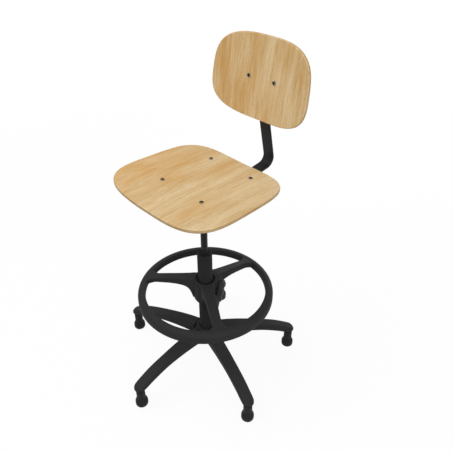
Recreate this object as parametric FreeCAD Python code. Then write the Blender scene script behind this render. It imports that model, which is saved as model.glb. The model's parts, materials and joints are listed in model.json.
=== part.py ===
import FreeCAD, Part
import math
import os

# Swivel bar chair with a gas column, a foot ring and a star base. Sizes in millimetres.
# The origin lies on the floor under the column. +Z is up, the sitter faces -Y, the sitter's left is +X.

V = FreeCAD.Vector
UP = V(0, 0, 1)
ORIGIN = V(0, 0, 0)

# clearances
RUN = 0.06          # radial clearance where one piece turns or slides in another
GAP = 0.3           # between pieces that only pass each other
HOLE_CLEAR = 0.3    # radial clearance of a screw in its hole

# seat
SEAT_TOP = 752.7    # height of the middle of the seat
SEAT_DEPTH = 383.0
SEAT_WIDTH = 444.0
SEAT_THICK = 11.0
SEAT_RISE = 14.0    # how far the side edges stand above the middle
SEAT_POWER = 3.95   # 2 is an ellipse, larger is squarer
SEAT_TAPER = 0.035  # share by which the front is wider than the middle
SEAT_MID_Y = -20.5
SEAT_EDGE = 3.4
SEAT_SCREW_X = 87.6
SEAT_SCREW_Y = 97.4
PLATE_MID_Y = 17.3  # middle of the four seat screws

# backrest
BACK_WIDTH = 377.0
BACK_HEIGHT = 246.0
BACK_THICK = 9.4
BACK_SAG = 20.8     # how far the side edges stand forward of the middle
BACK_POWER = 3.12
BACK_TAPER = -0.043
BACK_BEHIND = 70.0  # front face of the backrest behind the seat's rear edge
BACK_ABOVE = 250.6  # middle of the backrest above the seat
BACK_LEAN = 7.6     # degrees
BACK_EDGE = 3.0
BACK_SCREW_X = 50.4

# screws and nuts
SCREW_R = 3.0
HEAD_R = 6.2
HEAD_H = 3.6
HEAD_SINK = 0.9     # depth of the spot face under a screw head
NUT_FLATS = 10.0
NUT_H = 5.0
SCREW_END = 1.5     # thread that shows past the nut

# back bar
BAR_WIDTH = 40.0
BAR_THICK = 8.0
BAR_SLOPE = 8.5     # degrees, lower run rising to the rear
BAR_BEHIND = 125.5  # corner of the bar behind the seat's rear edge
BAR_BELOW = 39.3    # corner of the bar below the seat
BAR_BEND = 29.0     # radius of the middle line
BAR_KNEE = 182.3    # upper bend of the bar above the seat
BAR_KNEE_BEND = 70.0
BAR_FRONT_Y = 42.0
BAR_ABOVE = 34.0    # how far the bar runs above the backrest screws
CROSS_WIDTH = 142.0
CROSS_HEIGHT = 40.0
CROSS_THICK = 4.0
BOLT_R = 4.0
BOLT_FLATS = 13.0
BOLT_HEAD = 5.3
BOLT_NUT = 6.5
BOLT_NEAR = 24.0    # first bolt from the front end of the bar
BOLT_FAR = 16.7     # second bolt from the rear end of the bracket

# seat plate and its fittings
PLATE_THICK = 3.0
PLATE_RIM = 14.0
PLATE_MARGIN = 16.0
PLATE_CORNER = 22.0
PLATE_EDGE = 6.0
BEAD_R = 10.0
BEAD_DEPTH = 4.0
BEAD_LENGTH = 124.0
BEAD_IN = 22.0      # beads inside the lines of the seat screws
PAD_R = 11.0
SOCKET_WALL = 7.7
SOCKET_LENGTH = 66.0
GUSSET_REACH = 58.0
GUSSET_THICK = 4.0
BRACKET_WALL = 3.0
BRACKET_SIDE = 0.5
BRACKET_LEAD = 4.0  # how far the bracket runs ahead of the bar
BRACKET_INSET = 8.7  # rear end of the bracket from the edge of the plate

# gas cylinder, piston and release
CYL_R = 11.3
CYL_WALL = 2.0
CYL_BOTTOM = 296.0
TAPER_LENGTH = 38.0
TAPER_DROP = 0.85   # loss of radius over the taper
PIN_R = 4.0
PIN_SHOWS = 9.7
PIN_LENGTH = 30.0
CAP_LENGTH = 27.0
GLAND_LENGTH = 20.0
ROD_R = 5.0
ROD_NECK_R = 4.0
ROD_TOP = 412.0
PISTON_LENGTH = 12.0

# release lever
LEVER_PIVOT_X = -34.0
LEVER_WIDTH = 12.0
LEVER_THICK = 4.0
LEVER_HUB_R = 5.5
LEVER_PIN_R = 2.5
LEVER_END_X = -168.0
LEVER_DROP = 20.0
LEVER_ROOM = 11.4   # pivot axis below the seat plate
GRIP_LENGTH = 66.0
GRIP_WIDTH = 24.0
GRIP_THICK = 11.0
EAR_THICK = 3.0
EAR_WIDTH = 16.0

# column tube
TUBE_R = 25.0
TUBE_WALL = 2.5
TUBE_TOP = 484.0
TUBE_BELOW = 6.0    # how far the tube runs below the sleeve
TUBE_FLOOR = 4.0
TUBE_TAPER = 1.0    # loss of radius in the base
BUSH_LENGTH = 80.0
BUSH_FLANGE = 3.0

# thrust bearing
RACE_R = 11.0
RACE_THICK = 2.5
BALL_R = 2.0
BALL_CIRCLE = 8.0
BALLS = 9
CAGE_THICK = 1.6
BUFFER_R = 12.0
BUFFER_LENGTH = 12.0
CLIP_R = 8.0
CLIP_THICK = 1.4
WASHER_R = 9.5
WASHER_THICK = 2.5
ROD_TAIL = 4.0

# foot ring
RING_R = 231.0
RING_WIDE = 26.0
RING_TALL = 35.0
RING_Z = 308.0      # underside of the rim
RING_STEP = 8.0     # the rim's inner wall ends this far above the outer one
RING_BROW = 18.0    # rounding of the tread towards the outside
RING_ROUND = 5.0    # and towards the inside
RING_FOOT = 2.2     # rounding of the rim's lower edges
RING_WALL = 5.5     # walls of the rim and spokes, which are hollow underneath
RING_ROOF = 6.0
RIM_RIBS = 24
RING_RIB = 2.2
SPOKES = 3
SPOKE_WIDTH = 37.0  # near the hub
SPOKE_TIP = 29.0    # near the rim
SPOKE_FLARE = 5.0   # how far each side of a spoke spreads at the hub
RIM_FLARE = 15.0    # and at the rim
SPOKE_EDGE = 5.0
SPOKE_RIBS = 5
HUB_RISE = 70.0     # top of the ring's hub above the underside of the rim
HUB_DROP = 16.0     # bottom of the hub below the underside of the rim
HUB_WALL = 12.38    # around the liner
HUB_UPPER_WALL = 10.88
HUB_ROUND = 8.0
HUB_MOUTH = 6.0     # width of the recess above the liner
LINER_WALL = 3.0
LINER_FLANGE = 8.0
LINER_RECESS = 6.0
LINER_SLIT = 3.0

# foot ring clamp
KNOB_ANGLE = 30.0
KNOB_RISE = 20.0    # axis of the clamp above the underside of the rim
KNOB_R = 36.0
KNOB_THICK = 20.0
KNOB_LOBES = 3
KNOB_SCALLOP = 38.0
KNOB_WAIST = 19.0   # from the axis to the hollow between two lobes
KNOB_DISH = 5.0
KNOB_OFF = 1.4      # between the boss and the knob
KNOB_EDGE = 3.2
CLAMP_BOSS_R = 15.0
CLAMP_BOSS_REACH = 4.1
CLAMP_PAD_R = 7.0
CLAMP_PAD_LENGTH = 5.94
INSERT_R = 8.0
INSERT_LENGTH = 9.0
STUD_R = 4.0

# star base
ARMS = 5
ARM_FIRST = 271.6   # the base stands turned a little from the seat
GLIDE_CIRCLE = 310.8
ARM_TIP_R = 19.0
ARM_ROOT_HALF = 22.5
ARM_WALL = 4.0
ARM_EDGE = 7.5
RIB_THICK = 2.4
RIB_PITCH = 34.0
BASE_TOP = 160.0
BASE_POCKET = 6.0   # hollow between the sleeve's boss and the outer wall of the hub
BASE_NECK_WALL = 12.0
BASE_DEPTH = 46.0
BASE_BOSS_WALL = 6.0
SLEEVE_WALL = 3.5
SLEEVE_LENGTH = 46.0
SLEEVE_DOWN = 10.0  # top of the sleeve below the top of the base

# glides
GLIDE_R = 21.5
GLIDE_NECK_R = 15.0
GLIDE_TOP = 72.5
GLIDE_ROUND = 7.5
STEM_R = 5.5
STEM_COLLAR_R = 9.0
STEM_COLLAR = 2.5
STEM_DEPTH = 32.0
STEM_UP = 20.0
GLIDE_BOSS_R = 14.5

os.makedirs("parts", exist_ok=True)


def save(name, solids):
    solids = [s for shape in solids for s in shape.Solids]
    shape = solids[0] if len(solids) == 1 else Part.makeCompound(solids)
    shape.exportStep("parts/" + name + ".step")


def joined(shapes):
    return shapes[0].multiFuse(shapes[1:]).removeSplitter()


def turn(shape, degrees, axis=UP, about=ORIGIN):
    s = shape.copy()
    s.rotate(about, axis, degrees)
    return s


def shift(shape, x, y, z):
    s = shape.copy()
    s.translate(V(x, y, z))
    return s


def outline(corners, place):
    """Closed wire through corners (u, v, radius), each rounded by its own radius."""
    n = len(corners)
    ends = []
    for i, (u, v, r) in enumerate(corners):
        pu, pv = corners[i - 1][0] - u, corners[i - 1][1] - v
        nu, nv = corners[(i + 1) % n][0] - u, corners[(i + 1) % n][1] - v
        lp, ln = math.hypot(pu, pv), math.hypot(nu, nv)
        pu, pv, nu, nv = pu / lp, pv / lp, nu / ln, nv / ln
        if r <= 0:
            ends.append(((u, v), None, (u, v)))
            continue
        half = math.acos(max(-1, min(1, pu * nu + pv * nv))) / 2
        back = r / math.tan(half)
        bu, bv = pu + nu, pv + nv
        reach = (r / math.sin(half) - r) / math.hypot(bu, bv)
        first = (u + pu * back, v + pv * back)
        last = (u + nu * back, v + nv * back)
        ends.append((first, (u + bu * reach, v + bv * reach), last))
    edges = []
    for i in range(n):
        first, mid, last = ends[i]
        if mid:
            edges.append(Part.Arc(place(*first), place(*mid), place(*last)).toShape())
        nxt = ends[(i + 1) % n][0]
        if math.hypot(nxt[0] - last[0], nxt[1] - last[1]) > 1e-6:
            edges.append(Part.makeLine(place(*last), place(*nxt)))
    return Part.Wire(edges)


def turned(corners):
    """Solid of revolution about Z from corners (radius, height, rounding)."""
    wire = outline(corners, lambda r, z: V(r, 0, z))
    return Part.makeSolid(Part.Face(wire).revolve(ORIGIN, UP, 360))


def drum(r, low, high, bore=0.0):
    s = Part.makeCylinder(r, high - low, V(0, 0, low))
    return s.cut(Part.makeCylinder(bore, high - low, V(0, 0, low))) if bore else s


def slab(corners, place, along):
    return Part.Face(outline(corners, place)).extrude(along)


def block(x0, x1, y0, y1, z0, z1):
    return Part.makeBox(x1 - x0, y1 - y0, z1 - z0, V(x0, y0, z0))


def aimed(shape, at, direction):
    """Copy of a shape drawn along +Z, set at a point and along a direction."""
    s = shape.copy()
    s.Placement = FreeCAD.Placement(at, FreeCAD.Rotation(UP, direction))
    return s


def hexagon(flats, low, high, bore=0.0):
    r = flats / math.sqrt(3)
    turns = [math.radians(60 * i) for i in range(6)]
    corners = [(r * math.cos(a), r * math.sin(a), 0) for a in turns]
    s = slab(corners, lambda u, v: V(u, v, low), V(0, 0, high - low))
    return s.cut(drum(bore, low, high)) if bore else s


def oval(half_u, half_v, power, taper, place, count=48):
    """Closed squared-oval wire, |u/a|^p + |v/b|^p = 1, widened in v along u by the taper."""
    pts = []
    for i in range(count):
        c, s = math.cos(2 * math.pi * i / count), math.sin(2 * math.pi * i / count)
        u = math.copysign(abs(c) ** (2 / power), c)
        v = math.copysign(abs(s) ** (2 / power), s)
        pts.append(place(half_u * u, half_v * v * (1 + taper * u)))
    curve = Part.BSplineCurve()
    curve.interpolate(pts, PeriodicFlag=True)
    return Part.Wire(curve.toShape())


def spline(points, place):
    curve = Part.BSplineCurve()
    curve.interpolate([place(u, v) for u, v in points])
    return curve.toShape()


def level(points, u):
    """Height of a line of points at u, straight between the points."""
    for (u0, v0), (u1, v1) in zip(points, points[1:]):
        if u0 <= u <= u1:
            return v0 + (v1 - v0) * (u - u0) / (u1 - u0)
    return points[0][1] if u < points[0][0] else points[-1][1]


def button_screw(length):
    """Screw along +Z with its head at the top: the underside of the head is at 0."""
    head = turned([(0, 0, 0), (HEAD_R, 0, 0), (HEAD_R, HEAD_H, HEAD_H * 0.8), (0, HEAD_H, 0)])
    shank = drum(SCREW_R, -length, HEAD_H / 2)
    return joined([head, shank]).cut(hexagon(4.0, HEAD_H * 0.4, HEAD_H + 1))


def hex_bolt(length):
    """Bolt along +Z with its head below 0 and its shank above."""
    return joined([hexagon(BOLT_FLATS, -BOLT_HEAD, 0), drum(BOLT_R, -BOLT_HEAD / 2, length)])


# seat shell: a band bent across the chair, trimmed to the squared-oval outline
half_width = SEAT_WIDTH / 2
seat_bend = (half_width ** 2 + SEAT_RISE ** 2) / (2 * SEAT_RISE)
seat_centre = SEAT_TOP + seat_bend


def seat_top_at(x):
    return seat_centre - math.sqrt(seat_bend ** 2 - x * x)


def seat_under_at(x):
    return seat_centre - math.sqrt((seat_bend + SEAT_THICK) ** 2 - x * x)


def seat_band(top_bend, under_bend):
    """Bent band between two radii about the axis above the seat, wider and deeper than the seat."""
    span = half_width * 1.1
    y = SEAT_MID_Y - SEAT_DEPTH

    def at(bend, x):
        return V(x, y, seat_centre - math.sqrt(bend ** 2 - x * x))

    edges = [
        Part.Arc(at(top_bend, -span), at(top_bend, 0), at(top_bend, span)).toShape(),
        Part.makeLine(at(top_bend, span), at(under_bend, span)),
        Part.Arc(at(under_bend, span), at(under_bend, 0), at(under_bend, -span)).toShape(),
        Part.makeLine(at(under_bend, -span), at(top_bend, -span)),
    ]
    return Part.Face(Part.Wire(edges)).extrude(V(0, SEAT_DEPTH * 2, 0))


seat_low = SEAT_TOP - SEAT_THICK * 3
seat_plan = Part.Face(oval(
    SEAT_DEPTH / 2, half_width, SEAT_POWER, SEAT_TAPER,
    lambda u, v: V(v, SEAT_MID_Y - u, seat_low))).extrude(V(0, 0, SEAT_THICK * 6 + SEAT_RISE))
seat = seat_plan.common(seat_band(seat_bend, seat_bend + SEAT_THICK))
seat = seat.makeFillet(SEAT_EDGE, [e for e in seat.Edges if e.Length > SEAT_DEPTH])

seat_screws = [(sx * SEAT_SCREW_X, PLATE_MID_Y + sy * SEAT_SCREW_Y) for sx in (-1, 1) for sy in (-1, 1)]
head_z = seat_top_at(SEAT_SCREW_X) - HEAD_SINK
for x, y in seat_screws:
    seat = seat.cut(shift(drum(SCREW_R + HOLE_CLEAR, SEAT_TOP - 50, SEAT_TOP + 50), x, y, 0))
    seat = seat.cut(shift(drum(HEAD_R + HOLE_CLEAR, head_z, head_z + 50), x, y, 0))
save("seat_shell", [seat])

# seat plate: a pressed pan under the seat, with a notch in its rim for the lever
plate_top = SEAT_TOP - SEAT_THICK - GAP
plate_under = plate_top - PLATE_THICK
plate_x = SEAT_SCREW_X + PLATE_MARGIN
plate_y = SEAT_SCREW_Y + PLATE_MARGIN


def pan(inset, top):
    low = plate_top - PLATE_RIM
    x, y, r = plate_x - inset, plate_y - inset, PLATE_CORNER - inset
    corners = [(-x, -y, r), (x, -y, r), (x, y, r), (-x, y, r)]
    s = slab(corners, lambda u, v: V(u, PLATE_MID_Y + v, low), V(0, 0, top - low))
    rim = [e for e in s.Edges if min(v.Z for v in e.Vertexes) > top - 0.01]
    return s.makeFillet(PLATE_EDGE - inset, rim)


plate = pan(0, plate_top).cut(pan(PLATE_THICK, plate_under))
bead_z = plate_under + BEAD_R - BEAD_DEPTH


def bead(side, r):
    """Rod with round ends that shapes one pressed bead."""
    ends = [V(side * (SEAT_SCREW_X - BEAD_IN), PLATE_MID_Y + s * BEAD_LENGTH / 2, bead_z) for s in (-1, 1)]
    rod = Part.makeCylinder(r, BEAD_LENGTH, ends[0], V(0, 1, 0))
    return joined([rod, Part.makeSphere(r, ends[0]), Part.makeSphere(r, ends[1])])


for side in (-1, 1):
    under = bead(side, BEAD_R).common(block(-plate_x, plate_x, -plate_y * 2, plate_y * 2, 0, plate_top))
    plate = plate.fuse(under).cut(bead(side, BEAD_R - PLATE_THICK))
plate = plate.removeSplitter()
notch = LEVER_WIDTH / 2 + 4
plate = plate.cut(block(-plate_x - 1, -plate_x + PLATE_EDGE, -notch, notch, 0, plate_under - 1))
for x, y in seat_screws:
    plate = plate.cut(shift(drum(SCREW_R + HOLE_CLEAR, plate_under - 1, plate_top + 1), x, y, 0))
save("seat_plate", [plate])

# wedge pads fill the space between the flat plate and the bent seat
under_seat = seat_band(seat_bend + SEAT_THICK, seat_bend + SEAT_THICK * 2)
pads = [shift(drum(PAD_R, plate_top, plate_top + SEAT_RISE, SCREW_R + HOLE_CLEAR), x, y, 0).common(under_seat)
        for x, y in seat_screws]
save("seat_pads", pads)

seat_screw_length = head_z - plate_under + NUT_H + SCREW_END
save("seat_screws", [shift(button_screw(seat_screw_length), x, y, head_z) for x, y in seat_screws])
seat_nut = hexagon(NUT_FLATS, plate_under - NUT_H, plate_under, SCREW_R)
save("seat_nuts", [shift(seat_nut, x, y, 0) for x, y in seat_screws])

# taper socket under the plate, open on one side for the lever
pivot_z = plate_under - LEVER_ROOM
pin_top = pivot_z - GAP
cyl_top = pin_top - PIN_SHOWS
socket_low = plate_under - SOCKET_LENGTH
socket_r = CYL_R + SOCKET_WALL
taper_low = cyl_top - 1 - TAPER_LENGTH
taper_high = cyl_top - 1
taper_slope = TAPER_DROP / TAPER_LENGTH
mouth_r = CYL_R + 0.6
room_r = CYL_R + 2.5
socket = turned([
    (CYL_R, taper_low, 0), (mouth_r, taper_low - 0.6, 0), (mouth_r, socket_low, 0),
    (socket_r, socket_low, 1.5), (socket_r, plate_under, 0), (room_r, plate_under, 0),
    (room_r, taper_high, 0), (CYL_R - TAPER_DROP, taper_high, 0)])
slot = LEVER_WIDTH / 2 + 2
socket = socket.cut(block(-socket_r - 1, 0, -slot, slot, pivot_z - 8, plate_under))
save("taper_socket", [socket])

gussets = []
for i in range(4):
    web = slab(
        [(socket_r, plate_under, 0), (GUSSET_REACH, plate_under, 0), (GUSSET_REACH, plate_under - 6, 0),
         (socket_r, socket_low + 6, 0)],
        lambda u, v: V(u, -GUSSET_THICK / 2, v), V(0, GUSSET_THICK, 0))
    gussets.append(turn(web.cut(drum(socket_r, socket_low, plate_under)), 45 + 90 * i))
save("socket_gussets", gussets)

# gas cylinder with its tapered top, gland and release pin
cyl_in = CYL_R - CYL_WALL
cylinder = turned([
    (cyl_in, CYL_BOTTOM, 0), (CYL_R, CYL_BOTTOM, 1.0), (CYL_R, taper_low, 0),
    (CYL_R - TAPER_DROP, taper_high, 0), (CYL_R - TAPER_DROP - 1, cyl_top, 0), (PIN_R + RUN, cyl_top, 0),
    (PIN_R + RUN, cyl_top - CAP_LENGTH, 0), (cyl_in, cyl_top - CAP_LENGTH, 0)])
save("gas_cylinder", [cylinder])
save("cylinder_gland", [drum(cyl_in, CYL_BOTTOM + 1.5, CYL_BOTTOM + 1.5 + GLAND_LENGTH, ROD_R + RUN)])
pin_low = pin_top - PIN_LENGTH
release_pin = turned([(0, pin_low, 0), (PIN_R, pin_low, 0.8), (PIN_R, pin_top, 2.5), (0, pin_top, 0)])
save("release_pin", [release_pin])

# release lever: a flat tongue over the pin, a pivot hub and a sloping arm with a plastic grip
lever_half = LEVER_WIDTH / 2
arm_end_z = pivot_z - LEVER_DROP
tongue_end = PIN_R + 2


def lever_side(u, v):
    return V(u, -lever_half, v)


lever = slab([
    (tongue_end, pivot_z, 0.5), (tongue_end, pivot_z + LEVER_THICK, 0.5),
    (LEVER_PIVOT_X, pivot_z + LEVER_THICK, 12), (LEVER_END_X, arm_end_z + LEVER_THICK / 2, 0),
    (LEVER_END_X, arm_end_z - LEVER_THICK / 2, 0), (LEVER_PIVOT_X, pivot_z, 12)],
    lever_side, V(0, LEVER_WIDTH, 0))
hub = aimed(drum(LEVER_HUB_R, -lever_half, lever_half), V(LEVER_PIVOT_X, 0, pivot_z), V(0, 1, 0))
pivot_hole = aimed(drum(LEVER_PIN_R + RUN, -40, 40), V(LEVER_PIVOT_X, 0, pivot_z), V(0, 1, 0))
save("release_lever", [joined([lever, hub]).cut(pivot_hole)])

arm_run = V(LEVER_END_X - LEVER_PIVOT_X, 0, arm_end_z - pivot_z - LEVER_THICK / 2)
grip_half = GRIP_LENGTH / 2
grip = slab([
    (-grip_half, -GRIP_WIDTH * 0.36, 7), (grip_half, -GRIP_WIDTH / 2, 10),
    (grip_half, GRIP_WIDTH / 2, 10), (-grip_half, GRIP_WIDTH * 0.36, 7)],
    lambda u, v: V(u, v, -GRIP_THICK / 2), V(0, 0, GRIP_THICK))
grip = grip.makeFillet(3.0, [e for e in grip.Edges if abs(e.Vertexes[0].Z - e.Vertexes[-1].Z) < 0.01])
grip_tilt = math.degrees(math.atan2(arm_run.z, -arm_run.x))
grip = turn(turn(grip, 180), grip_tilt, V(0, 1, 0))
grip_past = grip_half * 0.45
grip_fall = grip_past * math.tan(math.radians(-grip_tilt))
grip = shift(grip, LEVER_END_X - grip_past, 0, arm_end_z - grip_fall)
save("lever_grip", [grip.cut(lever)])

pin_half = lever_half + GAP + EAR_THICK + 1.2
pin_head = drum(LEVER_PIN_R + 1.7, pin_half - 1.2, pin_half)
lever_pin = joined([drum(LEVER_PIN_R, -pin_half, pin_half), pin_head])
save("lever_pin", [aimed(lever_pin, V(LEVER_PIVOT_X, 0, pivot_z), V(0, 1, 0))])
ear = slab([
    (LEVER_PIVOT_X - EAR_WIDTH / 2, plate_under, 0), (LEVER_PIVOT_X + EAR_WIDTH / 2, plate_under, 0),
    (LEVER_PIVOT_X + EAR_WIDTH / 2, pivot_z - EAR_WIDTH / 2, EAR_WIDTH * 0.45),
    (LEVER_PIVOT_X - EAR_WIDTH / 2, pivot_z - EAR_WIDTH / 2, EAR_WIDTH * 0.45)],
    lambda u, v: V(u, lever_half + GAP, v), V(0, EAR_THICK, 0))
ears = [ear.cut(aimed(drum(LEVER_PIN_R, -40, 40), V(LEVER_PIVOT_X, 0, pivot_z), V(0, 1, 0)))]
ears.append(turn(ears[0], 180, V(0, 0, 1), V(LEVER_PIVOT_X, 0, 0)))
save("lever_ears", ears)

# backrest shell, drawn upright at the origin and leaned back; y runs to the rear
seat_rear = SEAT_MID_Y + SEAT_DEPTH / 2
back_y = seat_rear + BACK_BEHIND
back_z = SEAT_TOP + BACK_ABOVE
back_half = BACK_WIDTH / 2
back_bend = (back_half ** 2 + BACK_SAG ** 2) / (2 * BACK_SAG)


def leaned(shape):
    s = turn(shape, -BACK_LEAN, V(1, 0, 0))
    return shift(s, 0, back_y, back_z)


def back_at(x, depth):
    """How far behind the middle of the front face a layer at that depth lies at x."""
    return math.sqrt((back_bend + depth) ** 2 - x * x) - back_bend


def back_band(front, rear, height):
    span = back_half * 1.06

    def at(depth, x):
        return V(x, back_at(x, depth), -height / 2)

    edges = [
        Part.Arc(at(front, -span), at(front, 0), at(front, span)).toShape(),
        Part.makeLine(at(front, span), at(rear, span)),
        Part.Arc(at(rear, span), at(rear, 0), at(rear, -span)).toShape(),
        Part.makeLine(at(rear, -span), at(front, -span)),
    ]
    return Part.Face(Part.Wire(edges)).extrude(V(0, 0, height))


back_plan = Part.Face(oval(
    BACK_HEIGHT / 2, back_half, BACK_POWER, BACK_TAPER,
    lambda u, v: V(v, -BACK_SAG * 2, u))).extrude(V(0, BACK_SAG * 4, 0))
back = back_plan.common(back_band(0, BACK_THICK, BACK_HEIGHT * 1.1))
back = back.makeFillet(BACK_EDGE, [e for e in back.Edges if e.Length > BACK_HEIGHT])
cross = back_band(BACK_THICK, BACK_THICK + CROSS_THICK, CROSS_HEIGHT)
cross_plan = slab([
    (-CROSS_WIDTH / 2, -CROSS_HEIGHT / 2, 14), (CROSS_WIDTH / 2, -CROSS_HEIGHT / 2, 14),
    (CROSS_WIDTH / 2, CROSS_HEIGHT / 2, 14), (-CROSS_WIDTH / 2, CROSS_HEIGHT / 2, 14)],
    lambda u, v: V(u, -BACK_SAG, v), V(0, BACK_SAG * 4, 0))
cross = cross.common(cross_plan)
back_head = back_at(BACK_SCREW_X, 0) + HEAD_SINK
cross_rear = back_at(BACK_SCREW_X, BACK_THICK + CROSS_THICK)
REAR = V(0, 1, 0)
FRONT = V(0, -1, 0)
back_screw_length = cross_rear - back_head + NUT_H + SCREW_END + 1
screws = []
nuts = []
for x in (-BACK_SCREW_X, BACK_SCREW_X):
    hole = aimed(drum(SCREW_R + HOLE_CLEAR, -60, 60), V(x, 0, 0), REAR)
    sink = aimed(drum(HEAD_R + HOLE_CLEAR, -60, 0), V(x, back_head, 0), REAR)
    back = back.cut(hole).cut(sink)
    flat = aimed(drum(NUT_FLATS * 0.75, 0, 20), V(x, cross_rear - 0.6, 0), REAR)
    cross = cross.cut(hole).cut(flat)
    screws.append(leaned(aimed(button_screw(back_screw_length), V(x, back_head, 0), FRONT)))
    nut = hexagon(NUT_FLATS, 0, NUT_H, SCREW_R)
    nuts.append(leaned(aimed(nut, V(x, cross_rear - 0.6, 0), REAR)))
save("back_shell", [leaned(back)])
save("cross_plate", [leaned(cross)])
save("back_screws", screws)
save("back_nuts", nuts)

# back bar: a flat strip bent in the middle plane, from the bracket under the seat to the cross plate
lean = math.radians(BACK_LEAN)
slope = math.radians(BAR_SLOPE)
bar_corner_y = seat_rear + BAR_BEHIND
bar_corner_z = SEAT_TOP - BAR_BELOW
bar_knee_z = SEAT_TOP + BAR_KNEE
bar_depth = BACK_THICK + CROSS_THICK + BAR_THICK / 2


def behind_back(along):
    """Point of the bar's middle line at a distance up the back from the middle of the backrest."""
    return (back_y + bar_depth * math.cos(lean) + along * math.sin(lean),
            back_z - bar_depth * math.sin(lean) + along * math.cos(lean))


knee = behind_back((bar_knee_z - back_z + bar_depth * math.sin(lean)) / math.cos(lean))
bar_line = [
    (BAR_FRONT_Y, bar_corner_z - (bar_corner_y - BAR_FRONT_Y) * math.tan(slope), 0),
    (bar_corner_y, bar_corner_z, BAR_BEND), knee + (BAR_KNEE_BEND,), behind_back(BAR_ABOVE) + (0,)]


def strip(line, thick):
    """Closed corners of a strip of even thickness about a bent line of (u, v, bend radius)."""
    sides = []
    for side in (1, -1):
        pts = []
        for i, (u, v, r) in enumerate(line):
            dirs = []
            for j, k in ((i - 1, i), (i, i + 1)):
                if 0 <= j and k < len(line):
                    du, dv = line[k][0] - line[j][0], line[k][1] - line[j][1]
                    size = math.hypot(du, dv)
                    dirs.append((du / size, dv / size))
            (au, av), (bu, bv) = dirs[0], dirs[-1]
            nu, nv = -(av + bv), au + bu
            size = math.hypot(nu, nv)
            nu, nv = nu / size, nv / size
            off = thick / 2 / (nu * -av + nv * au) * side
            left = 1 if au * bv - av * bu > 0 else -1
            pts.append((u + nu * off, v + nv * off, r - side * left * thick / 2 if r else 0))
        sides.append(pts)
    return sides[0] + sides[1][::-1]


half_bar = BAR_WIDTH / 2
bar = slab(strip(bar_line, BAR_THICK), lambda y, z: V(-half_bar, y, z), V(BAR_WIDTH, 0, 0))
ends = [e for e in bar.Edges if abs(e.Length - BAR_THICK) < 0.01]
bar = bar.makeFillet(12.0, [e for e in ends if e.Vertexes[0].Z > back_z])
rims = [e for e in bar.Edges if e.Length > BAR_WIDTH * 0.6 and abs(e.Vertexes[0].X - e.Vertexes[-1].X) < 0.01]
bar = bar.makeFillet(1.6, rims)
bar_up = V(0, -math.sin(slope), math.cos(slope))
bar_along = V(0, math.cos(slope), math.sin(slope))
bar_start = V(0, bar_line[0][0], bar_line[0][1])
bracket_y = (BAR_FRONT_Y - BRACKET_LEAD, PLATE_MID_Y + plate_y - BRACKET_INSET)
bolt_far = (bracket_y[1] - BOLT_FAR - BAR_FRONT_Y) / math.cos(slope)
bolts = []
bolt_nuts = []
bolt_holes = []
for reach in (BOLT_NEAR, bolt_far):
    at = bar_start + bar_along * reach
    foot = at - bar_up * (BAR_THICK / 2 + BRACKET_WALL)
    bolt_holes.append(aimed(drum(BOLT_R + HOLE_CLEAR, -5, 25), foot, bar_up))
    bolts.append(aimed(hex_bolt(BRACKET_WALL + BAR_THICK + BOLT_NUT + SCREW_END), foot, bar_up))
    bolt_nuts.append(aimed(hexagon(BOLT_FLATS, 0, BOLT_NUT, BOLT_R), at + bar_up * (BAR_THICK / 2), bar_up))
save("back_bar", [bar.cut(Part.makeCompound(bolt_holes))])
save("bar_bolts", bolts)
save("bar_nuts", bolt_nuts)

# bracket: a U of sheet steel whose floor slopes with the bar
bracket_in = half_bar + BRACKET_SIDE
bracket_out = bracket_in + BRACKET_WALL
bracket_length = bracket_y[1] - bracket_y[0]


def bar_under(y, depth):
    drop = (BAR_THICK / 2 + depth) / math.cos(slope)
    return bar_corner_z - (bar_corner_y - y) * math.tan(slope) - drop


def bracket_block(half, depth, top):
    front, rear = bracket_y
    corners = [
        (front, bar_under(front, depth), 0), (rear, bar_under(rear, depth), 0),
        (rear, top, 0), (front, top, 0)]
    return slab(corners, lambda y, z: V(-half, y, z), V(half * 2, 0, 0))


bracket = bracket_block(bracket_out, BRACKET_WALL, plate_under)
long_side = [e for e in bracket.Edges if e.Length > bracket_length]
low_edges = [e for e in long_side if max(v.Z for v in e.Vertexes) < plate_under - 1]
bracket = bracket.makeFillet(BRACKET_WALL * 1.2, low_edges)
bracket = bracket.cut(bracket_block(bracket_in, 0, plate_under))
save("bar_bracket", [bracket.cut(Part.makeCompound(bolt_holes))])

# column tube with its guide bush
sleeve_top = BASE_TOP - SLEEVE_DOWN
sleeve_bottom = sleeve_top - SLEEVE_LENGTH
tube_bottom = sleeve_bottom - TUBE_BELOW
tube_in = TUBE_R - TUBE_WALL
floor_top = tube_bottom + TUBE_FLOOR
tube = turned([
    (ROD_NECK_R + RUN, tube_bottom, 0), (TUBE_R - TUBE_TAPER, tube_bottom, 0), (TUBE_R, sleeve_top, 0),
    (TUBE_R, TUBE_TOP, 0), (tube_in, TUBE_TOP, 0), (tube_in, floor_top + TUBE_TAPER * 4, 0),
    (tube_in - TUBE_TAPER, floor_top, 0), (ROD_NECK_R + RUN, floor_top, 0)])
save("column_tube", [tube])
bush = turned([
    (CYL_R + RUN, TUBE_TOP - BUSH_LENGTH, 0), (tube_in, TUBE_TOP - BUSH_LENGTH, 0), (tube_in, TUBE_TOP, 0),
    (TUBE_R, TUBE_TOP, 0), (TUBE_R, TUBE_TOP + BUSH_FLANGE, 2.0), (CYL_R + RUN, TUBE_TOP + BUSH_FLANGE, 0.8)])
save("guide_bush", [bush])

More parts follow.
